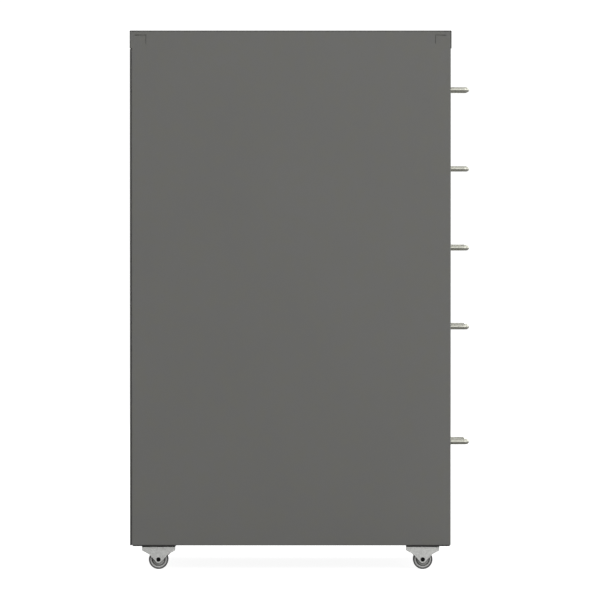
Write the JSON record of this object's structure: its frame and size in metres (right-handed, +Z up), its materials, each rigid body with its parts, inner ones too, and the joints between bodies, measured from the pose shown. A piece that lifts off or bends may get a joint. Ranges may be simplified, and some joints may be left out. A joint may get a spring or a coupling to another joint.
{
  "type": "rolling tool chest",
  "caption": "Tall narrow folded-steel tool chest on small fixed casters, with sliding drawers on ball-bearing slides and a bow handle on each drawer.",
  "frame": {"origin": "on the floor, at the middle of the width and of the length from handle noses to rear flange", "axes": "+Z up, -Y the way the drawers open, X across: facing the drawers, +X is to the right"},
  "size_m": [0.3, 0.427, 0.6735],
  "materials": {
    "case_paint": "matt grey powder coat, fine texture",
    "drawer_paint": "matt grey powder coat, fine texture",
    "rail_black": "satin black paint",
    "handle_chrome": "satin nickel plate",
    "slide_zinc": "bright zinc plate",
    "bracket_zinc": "zinc plate",
    "screw_zinc": "zinc plate",
    "axle_black": "blackened steel",
    "wheel_nylon": "moulded dark grey nylon"
  },
  "bodies": {
    "case": {"side_panel_left": "case_paint", "side_panel_right": "case_paint", "back_panel": "case_paint", "top_cover": "case_paint", "base_pan": "case_paint", "kick_rail": "case_paint", "caster_rail_front": "rail_black", "caster_rail_rear": "rail_black", "post_front_left": "case_paint", "post_front_right": "case_paint", "post_rear_left": "case_paint", "post_rear_right": "case_paint", "slide_screws": "screw_zinc", "caster_screws": "screw_zinc", "caster_nuts": "screw_zinc", "caster_axles": "axle_black", "caster_bracket_front_left": "bracket_zinc", "caster_bracket_front_right": "bracket_zinc", "caster_bracket_rear_left": "bracket_zinc", "caster_bracket_rear_right": "bracket_zinc", "slide_outer_1": "slide_zinc", "slide_outer_2": "slide_zinc", "slide_outer_3": "slide_zinc", "slide_outer_4": "slide_zinc", "slide_outer_5": "slide_zinc"},
    "drawer_1": {"drawer_front_1": "drawer_paint", "drawer_tray_1": "drawer_paint", "handle_1": "handle_chrome", "handle_screws_1": "screw_zinc", "slide_inner_1": "slide_zinc"},
    "slide_1": {"slide_middle_1": "slide_zinc"},
    "drawer_2": {"drawer_front_2": "drawer_paint", "drawer_tray_2": "drawer_paint", "handle_2": "handle_chrome", "handle_screws_2": "screw_zinc", "slide_inner_2": "slide_zinc"},
    "slide_2": {"slide_middle_2": "slide_zinc"},
    "drawer_3": {"drawer_front_3": "drawer_paint", "drawer_tray_3": "drawer_paint", "handle_3": "handle_chrome", "handle_screws_3": "screw_zinc", "slide_inner_3": "slide_zinc"},
    "slide_3": {"slide_middle_3": "slide_zinc"},
    "drawer_4": {"drawer_front_4": "drawer_paint", "drawer_tray_4": "drawer_paint", "handle_4": "handle_chrome", "handle_screws_4": "screw_zinc", "slide_inner_4": "slide_zinc"},
    "slide_4": {"slide_middle_4": "slide_zinc"},
    "drawer_5": {"drawer_front_5": "drawer_paint", "drawer_tray_5": "drawer_paint", "handle_5": "handle_chrome", "handle_screws_5": "screw_zinc", "slide_inner_5": "slide_zinc"},
    "slide_5": {"slide_middle_5": "slide_zinc"},
    "wheel_front_left": {"caster_wheel_front_left": "wheel_nylon"},
    "wheel_front_right": {"caster_wheel_front_right": "wheel_nylon"},
    "wheel_rear_left": {"caster_wheel_rear_left": "wheel_nylon"},
    "wheel_rear_right": {"caster_wheel_rear_right": "wheel_nylon"}
  },
  "joints": [
    {"name": "drawer_1_travel", "type": "slide", "parent": "case", "child": "drawer_1", "axis": [0, -1, 0], "range_m": [0, 0.33]},
    {"name": "slide_1_travel", "type": "slide", "parent": "case", "child": "slide_1", "axis": [0, -1, 0], "range_m": [0, 0.165]},
    {"name": "drawer_2_travel", "type": "slide", "parent": "case", "child": "drawer_2", "axis": [0, -1, 0], "range_m": [0, 0.33]},
    {"name": "slide_2_travel", "type": "slide", "parent": "case", "child": "slide_2", "axis": [0, -1, 0], "range_m": [0, 0.165]},
    {"name": "drawer_3_travel", "type": "slide", "parent": "case", "child": "drawer_3", "axis": [0, -1, 0], "range_m": [0, 0.33]},
    {"name": "slide_3_travel", "type": "slide", "parent": "case", "child": "slide_3", "axis": [0, -1, 0], "range_m": [0, 0.165]},
    {"name": "drawer_4_travel", "type": "slide", "parent": "case", "child": "drawer_4", "axis": [0, -1, 0], "range_m": [0, 0.33]},
    {"name": "slide_4_travel", "type": "slide", "parent": "case", "child": "slide_4", "axis": [0, -1, 0], "range_m": [0, 0.165]},
    {"name": "drawer_5_travel", "type": "slide", "parent": "case", "child": "drawer_5", "axis": [0, -1, 0], "range_m": [0, 0.33]},
    {"name": "slide_5_travel", "type": "slide", "parent": "case", "child": "slide_5", "axis": [0, -1, 0], "range_m": [0, 0.165]},
    {"name": "wheel_front_left_spin", "type": "hinge", "parent": "case", "child": "wheel_front_left", "pos_m": [-0.135, -0.1528, 0.0122], "axis": [1, 0, 0], "continuous": true},
    {"name": "wheel_front_right_spin", "type": "hinge", "parent": "case", "child": "wheel_front_right", "pos_m": [0.135, -0.1528, 0.0122], "axis": [1, 0, 0], "continuous": true},
    {"name": "wheel_rear_left_spin", "type": "hinge", "parent": "case", "child": "wheel_rear_left", "pos_m": [-0.135, 0.1778, 0.0122], "axis": [1, 0, 0], "continuous": true},
    {"name": "wheel_rear_right_spin", "type": "hinge", "parent": "case", "child": "wheel_rear_right", "pos_m": [0.135, 0.1778, 0.0122], "axis": [1, 0, 0], "continuous": true}
  ],
  "couplings": [
    {"joint": "slide_1_travel", "follows": "drawer_1_travel", "ratio": 0.5},
    {"joint": "slide_2_travel", "follows": "drawer_2_travel", "ratio": 0.5},
    {"joint": "slide_3_travel", "follows": "drawer_3_travel", "ratio": 0.5},
    {"joint": "slide_4_travel", "follows": "drawer_4_travel", "ratio": 0.5},
    {"joint": "slide_5_travel", "follows": "drawer_5_travel", "ratio": 0.5}
  ]
}
